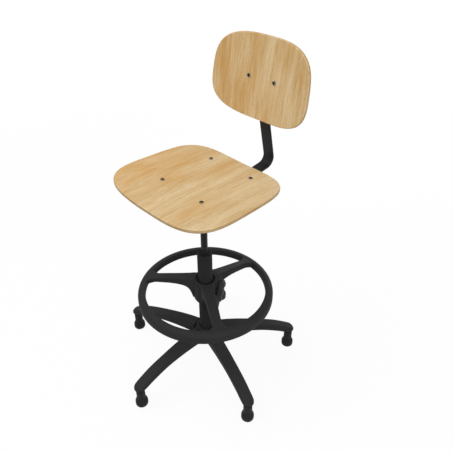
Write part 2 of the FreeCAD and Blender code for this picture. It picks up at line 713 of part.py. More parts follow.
# thrust bearing, buffer and clip around the piston rod
lower_top = floor_top + RACE_THICK
upper_low = lower_top + BALL_R * 2 + 0.1
upper_top = upper_low + RACE_THICK
save("lower_race", [drum(RACE_R, floor_top, lower_top, ROD_NECK_R + GAP)])
save("upper_race", [drum(RACE_R, upper_low, upper_top, ROD_NECK_R)])
ball = Part.makeSphere(BALL_R, V(BALL_CIRCLE, 0, lower_top + BALL_R))
save("bearing_balls", [turn(ball, 360 / BALLS * i) for i in range(BALLS)])
cage_low = lower_top + BALL_R - CAGE_THICK / 2
cage = drum(RACE_R - 0.4, cage_low, cage_low + CAGE_THICK, ROD_NECK_R + 1)
cage_hole = shift(drum(BALL_R, cage_low, cage_low + CAGE_THICK), BALL_CIRCLE, 0, 0)
for i in range(BALLS):
    cage = cage.cut(turn(cage_hole, 360 / BALLS * i))
save("bearing_cage", [cage])
save("rubber_buffer", [turned([
    (ROD_R, upper_top, 0), (BUFFER_R, upper_top, 0), (BUFFER_R - 2, upper_top + BUFFER_LENGTH, 2),
    (ROD_R, upper_top + BUFFER_LENGTH, 0)])])
washer_low = tube_bottom - WASHER_THICK - 0.1
clip_low = washer_low - CLIP_THICK
groove_r = ROD_NECK_R - 0.8
rod = turned([
    (0, clip_low - ROD_TAIL, 0), (ROD_NECK_R, clip_low - ROD_TAIL, 0.6), (ROD_NECK_R, clip_low, 0),
    (groove_r, clip_low, 0), (groove_r, washer_low, 0), (ROD_NECK_R, washer_low, 0),
    (ROD_NECK_R, upper_top, 0), (ROD_R, upper_top, 0),
    (ROD_R, ROD_TOP - PISTON_LENGTH, 0), (ROD_NECK_R, ROD_TOP - PISTON_LENGTH, 0),
    (ROD_NECK_R, ROD_TOP, 0.5), (0, ROD_TOP, 0)])
save("piston_rod", [rod])
save("rod_piston", [drum(cyl_in - GAP, ROD_TOP - PISTON_LENGTH, ROD_TOP - 0.5, ROD_NECK_R)])
save("rod_washer", [drum(WASHER_R, washer_low, washer_low + WASHER_THICK, ROD_NECK_R)])
clip = drum(CLIP_R, clip_low, washer_low, groove_r).cut(block(0, CLIP_R + 1, -2.2, 2.2, clip_low, washer_low))
save("rod_clip", [clip])

# foot ring: rim, spokes and hub in one moulding around a split liner
liner_in = TUBE_R + RUN
liner_out = liner_in + LINER_WALL
hub_bore = liner_out + RUN
hub_top = RING_Z + HUB_RISE
hub_bottom = RING_Z - HUB_DROP
hub_r = hub_bore + HUB_WALL
hub_upper_r = hub_bore + HUB_UPPER_WALL
knob_z = RING_Z + KNOB_RISE
clamp_boss_end = hub_r + CLAMP_BOSS_REACH
clamp_pad_end = liner_out + CLAMP_PAD_LENGTH
knob_face = clamp_boss_end + KNOB_OFF
rim_mid = RING_R - RING_WIDE / 2
rim_top = RING_Z + RING_TALL
rim_in = RING_R - RING_WIDE
rim_step = RING_Z + RING_STEP
rim = turned([
    (rim_in, rim_step, RING_FOOT), (rim_in + RING_WALL, rim_step, 0), (RING_R - RING_WALL, RING_Z, 0),
    (RING_R, RING_Z, RING_FOOT), (RING_R, rim_top, RING_BROW), (rim_in, rim_top, RING_ROUND)])
hub_mid = (hub_top + hub_bottom) / 2
mouth_bore = hub_bore + HUB_MOUTH
ring_hub = turned([
    (hub_bore, hub_bottom, 0), (hub_r, hub_bottom, HUB_ROUND), (hub_r, hub_mid, 30),
    (hub_upper_r, hub_top, 5), (mouth_bore, hub_top, 0), (mouth_bore, hub_top - LINER_RECESS, 0),
    (hub_bore, hub_top - LINER_RECESS, 0)])
spoke_span = rim_in - hub_r
spoke_fall = hub_top - rim_top


def along_spoke(shares, height):
    """Points of a spoke's side view, at shares of the way from the hub to the rim."""
    return [(hub_r + spoke_span * s, height(v)) for s, v in shares]


spoke_top = [(hub_r - 9, hub_top - 0.5)]
spoke_top += along_spoke(
    [(0.091, 0.071), (0.261, 0.257), (0.474, 0.486), (0.666, 0.686), (0.83, 0.857), (0.976, 0.97)],
    lambda v: hub_top - spoke_fall * v)
spoke_top.append((rim_mid, rim_top - 2))
spoke_under = [(hub_r - 5, hub_bottom + 8), (hub_r + 0.5, hub_bottom + 18)]
spoke_under += along_spoke(
    [(0.049, 19), (0.109, 28), (0.195, 33), (0.316, 34), (0.462, 32), (0.623, 27.5), (0.818, 21),
     (0.982, 15.5)],
    lambda v: RING_Z + v)
spoke_under.append((rim_mid, RING_Z + 14))


def fin(top, under, half):
    """Upright slab along X between two curves of (x, z), half to each side of the middle plane."""

    def place(u, v):
        return V(u, -half, v)

    edges = [
        spline(top, place), Part.makeLine(place(*top[-1]), place(*under[-1])),
        spline(under, place), Part.makeLine(place(*under[0]), place(*top[0]))]
    return Part.Face(Part.Wire(Part.__sortEdges__(edges))).extrude(V(0, half * 2, 0))


spoke_half = SPOKE_WIDTH / 2
tip_half = SPOKE_TIP / 2
hub_half = spoke_half + SPOKE_FLARE
rim_half = tip_half + RIM_FLARE
spoke_side = [
    (hub_r - 12, hub_half, 0), (hub_r - 3, hub_half, 0), (hub_r + 20, spoke_half, 40),
    (rim_in - 20, tip_half, 34), (rim_in + 3, rim_half, 0), (rim_mid + 1, rim_half, 0)]
spoke_plan = slab(
    [(u, -v, r) for u, v, r in spoke_side] + spoke_side[::-1],
    lambda u, v: V(u, v, hub_bottom - 10), V(0, 0, hub_top - hub_bottom + 40))
spoke = fin(spoke_top, spoke_under, rim_half + 6).common(spoke_plan)


def long_edges(shape, top, under, least):
    """Edges along a fin, each with how high its middle lies between the lower curve (0) and the upper (1)."""
    found = []
    for e in shape.Edges:
        p = e.valueAt((e.FirstParameter + e.LastParameter) / 2)
        low, high = level(under, p.x), level(top, p.x)
        run = abs(e.Vertexes[0].X - e.Vertexes[-1].X)
        if run > least and high > low:
            found.append((e, (p.z - low) / (high - low)))
    return found


spoke = spoke.makeFillet(SPOKE_EDGE, [e for e, h in long_edges(spoke, spoke_top, spoke_under, 8) if h > 0.5])
spokes = [turn(spoke, 90 + 360 / SPOKES * i) for i in range(SPOKES)]
clamp_out = V(math.cos(math.radians(KNOB_ANGLE)), math.sin(math.radians(KNOB_ANGLE)), 0)


def on_clamp(shape, reach=0.0):
    """Copy of a shape drawn along +Z, laid along the clamp's axis at a distance from the column axis."""
    s = turn(shape, 90, V(0, 1, 0))
    s = turn(s, KNOB_ANGLE)
    return shift(s, clamp_out.x * reach, clamp_out.y * reach, knob_z)


boss = drum(CLAMP_BOSS_R, hub_bore + 4, clamp_boss_end)
foot_ring = joined([rim, ring_hub] + spokes + [on_clamp(boss)])
groove = turned([
    (rim_in + RING_WALL, RING_Z - 1, 0), (RING_R - RING_WALL, RING_Z - 1, 0),
    (RING_R - RING_WALL, rim_top - RING_ROOF, RING_BROW - RING_WALL - 2),
    (rim_in + RING_WALL, rim_top - RING_ROOF, 3)])
rim_ribs = []
for i in range(RIM_RIBS):
    rib = block(rim_in, RING_R, -RING_RIB / 2, RING_RIB / 2, rim_step + 2, rim_top)
    rim_ribs.append(turn(rib, 360 / RIM_RIBS * (i + 0.5)))
foot_ring = foot_ring.cut(groove.cut(Part.makeCompound(rim_ribs)))
pocket_half = tip_half - RING_WALL
pocket_roof = [(u, v - RING_ROOF) for u, v in spoke_top]
pocket = fin(pocket_roof, [(pocket_roof[0][0], 0), (pocket_roof[-1][0], 0)], pocket_half)
pocket = pocket.common(block(hub_r + RING_WALL, rim_in - 1, -SPOKE_WIDTH, SPOKE_WIDTH, 0, hub_top))
spoke_ribs = fin([(u, v + 200) for u, v in spoke_under], [(u, v + 2) for u, v in spoke_under], SPOKE_WIDTH)
for i in range(SPOKE_RIBS + 1):
    u = hub_r + RING_WALL + (spoke_span - RING_WALL) * (i + 0.5) / (SPOKE_RIBS + 1)
    wall = block(u - RING_RIB / 2, u + RING_RIB / 2, -SPOKE_WIDTH, SPOKE_WIDTH, 0, hub_top)
    pocket = pocket.cut(wall.common(spoke_ribs))
for i in range(SPOKES):
    foot_ring = foot_ring.cut(turn(pocket, 90 + 360 / SPOKES * i))
core = drum(hub_bore, hub_bottom - 20, hub_top - LINER_RECESS)
core = core.fuse(drum(mouth_bore, hub_top - LINER_RECESS, hub_top + 20))
insert_start = clamp_boss_end - INSERT_LENGTH
foot_ring = foot_ring.cut(core)
foot_ring = foot_ring.cut(on_clamp(drum(CLAMP_PAD_R + RUN, 0, insert_start)))
foot_ring = foot_ring.cut(on_clamp(drum(INSERT_R, insert_start, clamp_boss_end + 5)))
save("foot_ring", [foot_ring])

flange_top = hub_bottom - GAP
liner = turned([
    (liner_in, flange_top - LINER_WALL, 0), (liner_out + LINER_FLANGE, flange_top - LINER_WALL, 1.0),
    (liner_out + LINER_FLANGE, flange_top, 1.0), (liner_out, flange_top, 0),
    (liner_out, hub_top - LINER_RECESS - 1, 0.8), (liner_in, hub_top - LINER_RECESS - 1, 0.8)])
slit = block(-TUBE_R - 20, -TUBE_R + 10, -LINER_SLIT / 2, LINER_SLIT / 2, hub_bottom - 20, hub_top)
save("ring_liner", [liner.cut(turn(slit, KNOB_ANGLE))])

# clamp: pad, insert, stud and lobed knob along one radial axis
pad = on_clamp(drum(CLAMP_PAD_R, liner_out - 3, clamp_pad_end)).cut(drum(liner_out + GAP, 0, hub_top))
save("clamp_pad", [pad])
save("clamp_insert", [on_clamp(drum(INSERT_R, insert_start, clamp_boss_end, STUD_R + RUN))])
save("clamp_stud", [on_clamp(drum(STUD_R, clamp_pad_end + 0.1, knob_face + KNOB_THICK * 0.6))])
knob = drum(KNOB_R, 0, KNOB_THICK)
for i in range(KNOB_LOBES):
    scallop = shift(drum(KNOB_SCALLOP, -1, KNOB_THICK + 1), KNOB_WAIST + KNOB_SCALLOP, 0, 0)
    knob = knob.cut(turn(scallop, 90 + 360 / KNOB_LOBES * i))
knob = knob.makeFillet(KNOB_EDGE, [e for e in knob.Edges if abs(e.Vertexes[0].Z - e.Vertexes[-1].Z) < 0.01])
dish_r = KNOB_WAIST + 5
knob = knob.cut(turned([
    (0, KNOB_THICK - KNOB_DISH * 0.4, 0), (dish_r * 0.42, KNOB_THICK - KNOB_DISH * 0.4, 3),
    (dish_r * 0.55, KNOB_THICK - KNOB_DISH, 4), (dish_r * 0.88, KNOB_THICK - KNOB_DISH, 6),
    (dish_r, KNOB_THICK + 1, 0), (0, KNOB_THICK + 1, 0)]))
hollow = drum(KNOB_WAIST - 4, -1, KNOB_THICK * 0.45, STUD_R + 4)
knob = knob.cut(hollow).cut(drum(STUD_R, -1, KNOB_THICK * 0.6))
save("clamp_knob", [on_clamp(knob, knob_face)])

# star base: five arms on a hub, hollow and ribbed underneath
sleeve_r = TUBE_R + SLEEVE_WALL
boss_r = sleeve_r + BASE_BOSS_WALL
base_hub_r = boss_r + BASE_POCKET + ARM_WALL
base_neck_r = TUBE_R + BASE_NECK_WALL
base_under = BASE_TOP - BASE_DEPTH
arm_root = base_hub_r - ARM_WALL + 0.5
arm_nose = GLIDE_CIRCLE + ARM_TIP_R
glide_boss_low = GLIDE_TOP + STEM_COLLAR
arm_low = glide_boss_low + 8
arm_span = GLIDE_CIRCLE - base_hub_r
arm_fall = BASE_TOP - arm_low
under_fall = base_under - arm_low


def along_arm(shares, height):
    """Points of an arm's side view, at shares of the way from the hub to the glide."""
    return [(base_hub_r + arm_span * s, height(v)) for s, v in shares]


arm_top = [(arm_root - 3, BASE_TOP - 5)]
arm_top += along_arm(
    [(0.096, 0.071), (0.246, 0.117), (0.434, 0.214), (0.625, 0.338), (0.812, 0.5), (0.932, 0.662),
     (1.015, 0.792)],
    lambda v: BASE_TOP - arm_fall * v)
arm_top.append((arm_nose + 1, arm_low + 5))
arm_under = [(arm_root - 3, base_under + 4)]
arm_under += along_arm(
    [(0.096, 1.177), (0.246, 1.21), (0.434, 1.145), (0.625, 0.935), (0.756, 0.645), (0.869, 0.339),
     (0.947, 0.081), (1.015, 0)],
    lambda v: arm_low + under_fall * v)
arm_under.append((arm_nose + 1, arm_low))


def arm_plan(inset, nose, low, high):
    """Tapering plan of an arm with a round tip."""
    root, tip = ARM_ROOT_HALF - inset, ARM_TIP_R - inset
    corners = [
        (arm_root + inset, -root, 0), (nose - inset, -tip, tip * 0.98),
        (nose - inset, tip, tip * 0.98), (arm_root + inset, root, 0)]
    return slab(corners, lambda u, v: V(u, v, low), V(0, 0, high - low))


wide = ARM_ROOT_HALF + 10
arm = fin(arm_top, arm_under, wide).common(arm_plan(0, arm_nose, 0, BASE_TOP + 50))
arm = arm.makeFillet(ARM_EDGE, [e for e, h in long_edges(arm, arm_top, arm_under, 6) if h > 0.5])
lowered = [(u, v - ARM_WALL) for u, v in arm_top]
cavity_end = GLIDE_CIRCLE - GLIDE_BOSS_R
cavity = fin(lowered, [(lowered[0][0], 0), (lowered[-1][0], 0)], wide)
cavity = cavity.common(arm_plan(ARM_WALL, cavity_end, 0, BASE_TOP + 50))
ribs = []
x = base_hub_r + 6
while x < cavity_end - RIB_PITCH * 0.4:
    for sign in (-1, 1):
        rib = block(-60, 60, -RIB_THICK / 2, RIB_THICK / 2, 0, BASE_TOP)
        ribs.append(shift(turn(rib, 45 * sign), x + RIB_PITCH / 2, 0, 0))
    x += RIB_PITCH
recess = fin([(u, v + 200) for u, v in arm_under], [(u, v + 2.5) for u, v in arm_under], wide)
room = cavity.common(recess)
arm = joined([arm.cut(cavity)] + [rib.common(room) for rib in ribs])
boss = drum(GLIDE_BOSS_R, glide_boss_low, arm_low + 12)
arm = joined([arm, shift(boss, GLIDE_CIRCLE, 0, 0)])
arm = arm.cut(shift(drum(STEM_R, 0, glide_boss_low + STEM_UP), GLIDE_CIRCLE, 0, 0))

pocket_round = min(3, BASE_POCKET * 0.45)
base_hub = turned([
    (sleeve_r, sleeve_bottom, 0), (boss_r, sleeve_bottom, 2), (boss_r, base_under + 16, pocket_round),
    (base_hub_r - ARM_WALL, base_under + 16, pocket_round), (base_hub_r - ARM_WALL, base_under, 0),
    (base_hub_r, base_under, 2),
    (base_hub_r, BASE_TOP - 18, 10), (base_neck_r + 2, BASE_TOP - 9, 6), (base_neck_r, BASE_TOP, 3),
    (TUBE_R + 2, BASE_TOP, 0), (TUBE_R + 2, sleeve_top, 0), (sleeve_r, sleeve_top, 0)])
arms = [turn(arm, ARM_FIRST + 360 / ARMS * i) for i in range(ARMS)]
base = joined([base_hub] + arms)
base = base.cut(drum(sleeve_r, 0, sleeve_top)).cut(drum(TUBE_R + 2, sleeve_top - 1, BASE_TOP + 20))
save("star_base", [base])
taper_at = TUBE_TAPER * (sleeve_top - sleeve_bottom) / (sleeve_top - tube_bottom)
save("hub_sleeve", [turned([
    (TUBE_R - taper_at, sleeve_bottom, 0), (sleeve_r, sleeve_bottom, 0), (sleeve_r, sleeve_top, 0),
    (TUBE_R, sleeve_top, 0)])])

# glides on steel stems
glide = turned([
    (0, 0, 0), (GLIDE_R, 0, GLIDE_ROUND), (GLIDE_R, 21, 13), (GLIDE_NECK_R, 36, 7),
    (GLIDE_NECK_R, GLIDE_TOP, 1.2), (STEM_R, GLIDE_TOP, 0), (STEM_R, GLIDE_TOP - STEM_DEPTH, 0),
    (0, GLIDE_TOP - STEM_DEPTH, 0)])
stem = turned([
    (0, GLIDE_TOP - STEM_DEPTH, 0), (STEM_R, GLIDE_TOP - STEM_DEPTH, 0), (STEM_R, GLIDE_TOP, 0),
    (STEM_COLLAR_R, GLIDE_TOP, 0), (STEM_COLLAR_R, glide_boss_low, 0), (STEM_R, glide_boss_low, 0),
    (STEM_R, glide_boss_low + STEM_UP, 1.0), (0, glide_boss_low + STEM_UP, 0)])
stems = []
for i in range(ARMS):
    angle = ARM_FIRST + 360 / ARMS * i
    save("glide_%d" % (i + 1), [turn(shift(glide, GLIDE_CIRCLE, 0, 0), angle)])
    stems.append(turn(shift(stem, GLIDE_CIRCLE, 0, 0), angle))
save("glide_stems", stems)
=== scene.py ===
"""Finishes of a plywood swivel bar chair, its screws, its weld beads and the studio it is shown in."""

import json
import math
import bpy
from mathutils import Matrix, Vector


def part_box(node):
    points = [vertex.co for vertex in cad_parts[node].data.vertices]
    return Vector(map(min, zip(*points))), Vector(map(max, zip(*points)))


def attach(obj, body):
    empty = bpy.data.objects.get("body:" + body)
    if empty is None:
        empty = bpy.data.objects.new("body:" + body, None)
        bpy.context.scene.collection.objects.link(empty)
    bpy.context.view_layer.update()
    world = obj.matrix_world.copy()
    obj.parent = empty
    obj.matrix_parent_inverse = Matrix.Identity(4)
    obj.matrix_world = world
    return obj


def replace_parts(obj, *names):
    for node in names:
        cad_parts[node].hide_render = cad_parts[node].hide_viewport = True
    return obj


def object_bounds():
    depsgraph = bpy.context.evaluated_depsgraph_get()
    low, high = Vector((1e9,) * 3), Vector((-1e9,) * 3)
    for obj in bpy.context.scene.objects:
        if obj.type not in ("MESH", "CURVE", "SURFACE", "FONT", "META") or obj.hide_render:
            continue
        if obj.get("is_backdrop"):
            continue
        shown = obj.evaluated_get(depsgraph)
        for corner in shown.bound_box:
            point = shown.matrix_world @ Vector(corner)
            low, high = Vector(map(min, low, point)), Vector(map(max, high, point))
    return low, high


bl_info = {
    "name": "Swivel Bar Chair",
    "version": (1, 0, 0),
    "blender": (4, 5, 0),
    "location": "View3D > Sidebar > Bar Chair",
    "description": "Gives a packed swivel bar chair its finishes, screws, weld beads and studio",
    "category": "Object",
}

import bmesh
import bpy
from bpy.props import FloatProperty, FloatVectorProperty, PointerProperty
from mathutils import Matrix, Vector

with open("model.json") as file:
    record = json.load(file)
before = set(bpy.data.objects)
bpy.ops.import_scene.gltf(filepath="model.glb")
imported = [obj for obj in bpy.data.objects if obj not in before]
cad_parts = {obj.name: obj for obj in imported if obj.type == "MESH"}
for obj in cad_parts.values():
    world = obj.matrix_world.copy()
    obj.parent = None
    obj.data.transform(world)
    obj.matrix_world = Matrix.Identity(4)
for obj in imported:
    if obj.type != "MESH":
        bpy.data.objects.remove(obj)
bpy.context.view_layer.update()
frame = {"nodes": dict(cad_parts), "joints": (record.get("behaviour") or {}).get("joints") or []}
NODES = frame["nodes"]

# how the shells are bent: a point on the bend's axis, the grain's tilt about X, radius and thickness
SEAT_MIDDLE = 0.7527
SEAT_BEND = 1.7671
BACK_MIDDLE = Vector((0.0, 0.2410, 1.0033))
BACK_BEND = 0.8645
BACK_LEAN = math.radians(7.6)
SHELL_BENDS = {
    "seat_shell": {
        "axis": (0.0, 0.0, SEAT_MIDDLE + SEAT_BEND), "tilt": 0.0, "radius": SEAT_BEND, "thickness": 0.0110},
    "back_shell": {
        "axis": BACK_MIDDLE + Vector((0.0, -math.cos(BACK_LEAN), math.sin(BACK_LEAN))) * BACK_BEND,
        "tilt": math.pi / 2 - BACK_LEAN, "radius": BACK_BEND, "thickness": 0.0094},
}

# cells of the wood's patterns in a metre, across and along the grain
GRAIN_CELLS = {
    "sway": (5.5, 2.4), "waver": (30.0, 9.0), "drift": (13.0, 4.5), "patch": (50.0, 10.0),
    "band": (26.0, 2.6), "tone": (80.0, 9.0), "streak": (250.0, 7.0), "fibre": (520.0, 36.0),
    "fleck": (620.0, 210.0), "pore": (1300.0, 90.0),
}
SWAY_LINES = 9.0      # how many growth lines the slow sway moves the figure by
WAVER_LINES = 2.2     # and how many the quicker waver does
GRAIN_LEAN = 0.006    # how far the fibres lean with the figure
PLY_MARGIN = 0.0004   # keeps the outer plies whole on both faces

# screws and stud
ROUND_STEPS = 24
DOME_STEPS = 4
HEX_TURN = math.pi / 3
SOCKET_EDGE = 0.0003
SOCKET_POINT = 0.0008
SOCKET_SLACK = 1.02
MERGE = 1e-7
CREASE = math.radians(35.0)

# welds: half a gusset's thickness, the plate behind the backrest, and a bead's sides and relative widths
GUSSET_HALF = 0.002
CROSS_PLATE = 0.004
CROSS_HALF = 0.020
BEAD_SIDES = 8
BEAD_START = 0.55
BEAD_DIP = 0.84
BEAD_END = 0.6

# studio: the floor's own white is complete from the second distance on
# a lamp without an aim faces the chair
FLOOR_HALF = 9.0
FLOOR_FADE = (0.9, 3.0)
WHITE = (1.0, 1.0, 1.0, 1.0)
SENSOR_WIDTH = 36.0
LAMPS = {
    "key": {"size": 2.6, "place": Vector((-0.9, -0.9, 3.2)), "aim": None},
    "fill": {"size": 1.8, "place": Vector((2.3, -0.9, 1.7)), "aim": None},
    "rear": {"size": 1.2, "place": Vector((-1.2, 2.6, 0.62)), "aim": Vector((0.0, 0.25, 1.0))},
}


def colour_property(name, description, default):
    """A colour that a user would change, in linear light."""
    return FloatVectorProperty(
        name=name, description=description, subtype="COLOR", size=3, min=0.0, max=1.0, default=default)


def length_property(name, description, default):
    """A size in metres."""
    return FloatProperty(
        name=name, description=description, unit="LENGTH", min=0.0, precision=5, default=default)


def share_property(name, description, default):
    """A share from 0 to 1."""
    return FloatProperty(
        name=name, description=description, subtype="FACTOR", min=0.0, max=1.0, default=default)


def amount_property(name, description, default, **settings):
    """A plain amount, or one whose unit or subtype is given."""
    return FloatProperty(name=name, description=description, min=0.0, default=default, **settings)


class PlywoodFinish(bpy.types.PropertyGroup):
    """Lacquered plywood of the seat and the backrest."""

    light: colour_property("Light Wood", "Pale wood between the growth lines", (0.715, 0.552, 0.322))
    dark: colour_property("Dark Wood", "Wood of the growth lines", (0.520, 0.318, 0.112))
    warm: colour_property("Warm Streak", "Orange brown of the broad streaks", (0.560, 0.295, 0.075))
    cross: colour_property("Cross Ply", "End grain of every second ply in the edge", (0.400, 0.245, 0.105))
    seat_warmth: share_property("Seat Warmth", "How far warm streaks spread over the seat", 0.06)
    back_warmth: share_property("Back Warmth", "How far warm streaks spread over the backrest", 0.065)
    seat_figure: share_property("Seat Figure", "How strongly the grain of the seat shows", 0.58)
    back_figure: share_property("Back Figure", "How strongly the grain of the backrest shows", 0.90)
    # painted light: the seat's wood is darkened and the backrest's lightened to balance how the key and fill
    # lamps light the two shells; the veneers themselves are alike
    seat_painted_light: amount_property("Seat Painted Light", "Lightness of the seat's veneer", 0.973)
    back_painted_light: amount_property("Back Painted Light", "Lightness of the backrest's veneer", 1.065)
    line_pitch: length_property("Line Pitch", "Mean distance between growth lines", 0.0115)
    plies: amount_property("Plies", "Layers through the thickness", 7.0)
    roughness: share_property("Roughness", "Roughness of the lacquer", 0.46)


class BlackFinish(bpy.types.PropertyGroup):
    """Black mouldings, powder coat and paint."""

    nylon: colour_property("Nylon", "Moulded star base and foot ring", (0.0275, 0.0275, 0.0280))
    knob: colour_property("Knob", "Hand knob of the foot ring clamp", (0.0500, 0.0500, 0.0505))
    plastic: colour_property("Plastic", "Moulded glides, grip, bush and liner", (0.0165, 0.0165, 0.0170))
    powder: colour_property("Powder Coat", "Bar, plate and bracket", (0.0125, 0.0125, 0.0130))
    paint: colour_property("Column Paint", "Column tube", (0.0240, 0.0240, 0.0245))
    cylinder: colour_property("Cylinder Lacquer", "Glossy gas cylinder", (0.0130, 0.0130, 0.0133))
    # painted reflection: the light lines along the gas cylinder stand in for reflections on its gloss, not
    # for marks in the lacquer
    painted_reflection_lines: colour_property("Painted Reflection Lines", "Light lines along the gas cylinder", (0.0560, 0.0560, 0.0565))
    rubber: colour_property("Rubber", "Pads and buffer", (0.0120, 0.0115, 0.0110))
    scuff: colour_property("Scuff", "Faint grey rub on the mouldings", (0.0400, 0.0400, 0.0405))


class MetalFinish(bpy.types.PropertyGroup):
    """Plated, ground and turned metal."""

    zinc: colour_property("Zinc", "Plated bolts, nuts, washer and clip", (0.560, 0.565, 0.580))
    nickel: colour_property("Nickel", "Screw heads in the shells", (0.200, 0.188, 0.170))
    # painted shade: this dark steel is the clamp stud's own colour, and it also paints shade into the screw
    # sockets and, on the glide stems, the shade under the arm tips
    painted_shade_and_blackened: colour_property(
        "Blackened Steel and Painted Shade", "Glide stems, clamp stud and screw sockets", (0.0120, 0.0115, 0.0110))
    ground: colour_property("Ground Steel", "Piston rod, races and balls", (0.600, 0.600, 0.610))
    turned: colour_property("Turned Steel", "Piston, gland, sleeve and cage", (0.380, 0.380, 0.390))
    brass: colour_property("Brass", "Threaded insert", (0.560, 0.360, 0.120))


class ScrewSizes(bpy.types.PropertyGroup):
    """Socket head screws of the shells and stud of the clamp."""

    head: length_property("Head Radius", "Half the width of a screw head", 0.0062)
    head_height: length_property("Head Height", "Height of a screw head", 0.0036)
    head_round: length_property("Head Rounding", "Radius round the top of a screw head", 0.0018)
    socket: length_property("Socket", "Hexagon socket across its flats", 0.0068)
    socket_depth: length_property("Socket Depth", "Depth of the hexagon socket", 0.0028)
    shank: length_property("Shank Radius", "Half the width of a screw over its thread", 0.0030)
    pitch: length_property("Pitch", "Rise of a screw's thread in one turn", 0.0010)
    stud: length_property("Stud Radius", "Half the width of the clamp's stud over its thread", 0.0040)
    stud_pitch: length_property("Stud Pitch", "Rise of the stud's thread in one turn", 0.00125)
    thread_depth: share_property("Thread Depth", "Depth of a thread as a share of its pitch", 0.6)


class WeldSizes(bpy.types.PropertyGroup):
    """Beads that join the steelwork."""

    radius: length_property("Bead Radius", "Half the width of a weld bead", 0.0021)
    ripple: length_property("Ripple", "Distance between the ripples of a bead", 0.0022)
    inset: length_property("Inset", "How far a bead stops short of the ends of its joint", 0.003)


class StudioSetup(bpy.types.PropertyGroup):
    """Floor, lamps and camera."""

    floor: colour_property("Floor", "Pale floor as it is seen", (0.94, 0.94, 0.94))
    bounce: colour_property("Bounce", "Floor as it lights the chair from below", (0.22, 0.22, 0.22))
    glow: share_property("Glow", "Share of the floor's own white in what the camera sees", 0.92)
    world: amount_property("World", "Strength of the even light", 0.50)
    key: amount_property("Key", "Power of the large lamp above", 48.5, unit="POWER")
    fill: amount_property("Fill", "Power of the lamp at the side", 29.0, unit="POWER")
    rear: amount_property("Rear", "Power of the low lamp behind", 22.0, unit="POWER")
    camera_place: FloatVectorProperty(
        name="Camera", description="Place of the camera", subtype="TRANSLATION", size=3,
        default=(0.9785, -0.8348, 1.4918))
    camera_tilt: amount_property(
        "Tilt", "Camera tilt from straight down", math.radians(55.0), subtype="ANGLE")
    camera_turn: amount_property(
        "Turn", "Camera turn about the vertical", math.radians(46.41), subtype="ANGLE")
    lens: amount_property("Lens", "Focal length", 39.806, subtype="DISTANCE_CAMERA")


class Finish:
    """One procedural material, built node by node."""

    def __init__(self, name):
        self.material = bpy.data.materials.new(name)
        self.material.use_nodes = True
        self.tree = self.material.node_tree
        self.tree.nodes.clear()
        self.place = self.node("ShaderNodeTexCoord").outputs["Object"]

    def node(self, kind, inputs=None, **settings):
        """A new node with its settings, and its inputs linked or set."""
        made = self.tree.nodes.new(kind)
        for name, value in settings.items():
            setattr(made, name, value)
        for key, value in (inputs or {}).items():
            self.feed(made.inputs[key], value)
        return made

    def feed(self, socket, value):
        """Links an output to the socket, or sets the socket to a value."""
        if isinstance(value, bpy.types.NodeSocket):
            self.tree.links.new(value, socket)
        else:
            socket.default_value = value

    def math(self, operation, first, second=0.0, clamp=False):
        """Sum, product or other result of two values."""
        made = self.node("ShaderNodeMath", {0: first, 1: second}, operation=operation, use_clamp=clamp)
        return made.outputs[0]

    def vector(self, operation, first, second=(0.0, 0.0, 0.0)):
        """Result of two vectors, or the length of the first."""
        made = self.node("ShaderNodeVectorMath", {0: first, 1: second}, operation=operation)
        return made.outputs["Value" if operation == "LENGTH" else "Vector"]

    def noise(self, place, stretch, detail=2.0, roughness=0.5):
        """Noise whose cells per metre are given along each axis."""
        spread = self.vector("MULTIPLY", place, stretch)
        inputs = {"Vector": spread, "Scale": 1.0, "Detail": detail, "Roughness": roughness}
        return self.node("ShaderNodeTexNoise", inputs).outputs["Fac"]

    def span(self, value, low, high, start=0.0, end=1.0):
        """Value moved from the range low to high into start to end, and held there."""
        inputs = {"Value": value, "From Min": low, "From Max": high, "To Min": start, "To Max": end}
        return self.node("ShaderNodeMapRange", inputs, clamp=True).outputs["Result"]

    def blend(self, share, first, second):
        """Mix of two colours."""
        made = self.node("ShaderNodeMix", data_type="RGBA")
        for index, value in ((0, share), (6, first), (7, second)):
            if index and not isinstance(value, bpy.types.NodeSocket):
                value = (*value, 1.0)
            self.feed(made.inputs[index], value)
        return made.outputs[2]

    def bump(self, height, depth):
        """Normal of a relief whose full height is the depth."""
        inputs = {"Height": height, "Distance": depth, "Strength": 1.0}
        return self.node("ShaderNodeBump", inputs).outputs[0]

    def surface(self, inputs):
        """Ends the material with one shader and returns it."""
        shader = self.node("ShaderNodeBsdfPrincipled", inputs)
        self.node("ShaderNodeOutputMaterial", {"Surface": shader.outputs[0]})
        return self.material


def dress(material, *names):
    """Gives CAD nodes one material."""
    for name in names:
        NODES[name].data.materials.clear()
        NODES[name].data.materials.append(material)


def cells(pattern):
    """Cells per metre along each axis, with the grain along Y."""
    across, along = GRAIN_CELLS[pattern]
    return across, along, across


